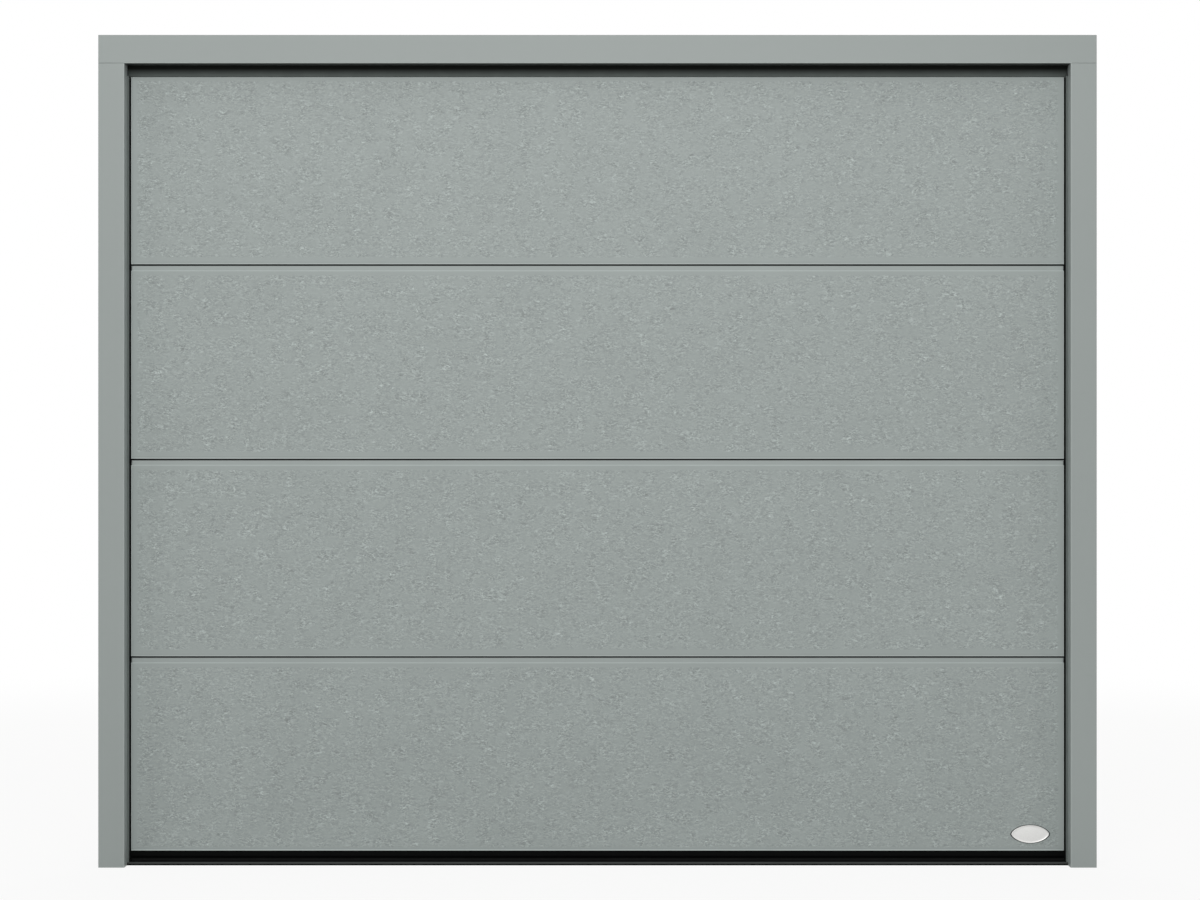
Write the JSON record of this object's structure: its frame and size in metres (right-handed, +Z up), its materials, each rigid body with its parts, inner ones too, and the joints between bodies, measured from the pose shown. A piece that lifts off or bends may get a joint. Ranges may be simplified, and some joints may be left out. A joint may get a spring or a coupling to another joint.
{
  "type": "sectional garage door",
  "caption": "Closed sectional garage door: painted steel surround, embossed insulated sections, seals, and double overhead tracks with rollers, cables and a rear spring shaft.",
  "frame": {"origin": "floor level, middle of the opening, in the plane of the leaf's outer face", "axes": "+X to the right seen from outside, +Y into the garage along the overhead tracks, +Z up"},
  "size_m": [2.69, 2.8018, 2.3],
  "materials": {
    "frame_paint": "satin grey-green powder coat",
    "leaf_paint": "satin grey-green paint over fine embossed steel",
    "seal_rubber": "matt black",
    "side_seal_rubber": "matt dark grey",
    "galvanised_steel": "galvanised",
    "rail_aluminium": "mill finish",
    "badge_metal": "satin silver",
    "roller_nylon": "moulded off-white nylon",
    "spring_steel": "zinc-coated spring wire",
    "cast_aluminium": "die cast",
    "shaft_steel": "bright steel",
    "cable_steel": "twisted wire"
  },
  "bodies": {
    "root": {"jamb_left": "frame_paint", "jamb_right": "frame_paint", "header": "frame_paint", "side_seal_left": "side_seal_rubber", "side_seal_right": "side_seal_rubber", "top_seal": "seal_rubber", "threshold_strip": "seal_rubber", "bottom_seal": "seal_rubber", "bottom_section": "leaf_paint", "lower_middle_section": "leaf_paint", "upper_middle_section": "leaf_paint", "top_section": "leaf_paint", "end_caps": "galvanised_steel", "bottom_rail": "rail_aluminium", "badge_plate": "badge_metal", "side_hinges_left": "galvanised_steel", "side_hinges_right": "galvanised_steel", "centre_hinges": "galvanised_steel", "bottom_bracket_left": "galvanised_steel", "bottom_bracket_right": "galvanised_steel", "top_bracket_left": "galvanised_steel", "top_bracket_right": "galvanised_steel", "roller_wheels": "roller_nylon", "roller_stems": "shaft_steel", "vertical_track_left": "galvanised_steel", "vertical_track_right": "galvanised_steel", "curved_track_left": "galvanised_steel", "curved_track_right": "galvanised_steel", "lower_track_left": "galvanised_steel", "lower_track_right": "galvanised_steel", "upper_track_left": "galvanised_steel", "upper_track_right": "galvanised_steel", "corner_plate_left": "galvanised_steel", "corner_plate_right": "galvanised_steel", "cable_pulleys": "roller_nylon", "lift_cable_left": "cable_steel", "lift_cable_right": "cable_steel", "cable_drums": "cast_aluminium", "end_bearing_plates": "galvanised_steel", "spring_shaft": "shaft_steel", "torsion_springs": "spring_steel", "spring_cones": "cast_aluminium", "centre_bracket": "galvanised_steel", "rear_crossbar": "galvanised_steel", "ceiling_hangers": "galvanised_steel"}
  },
  "joints": []
}
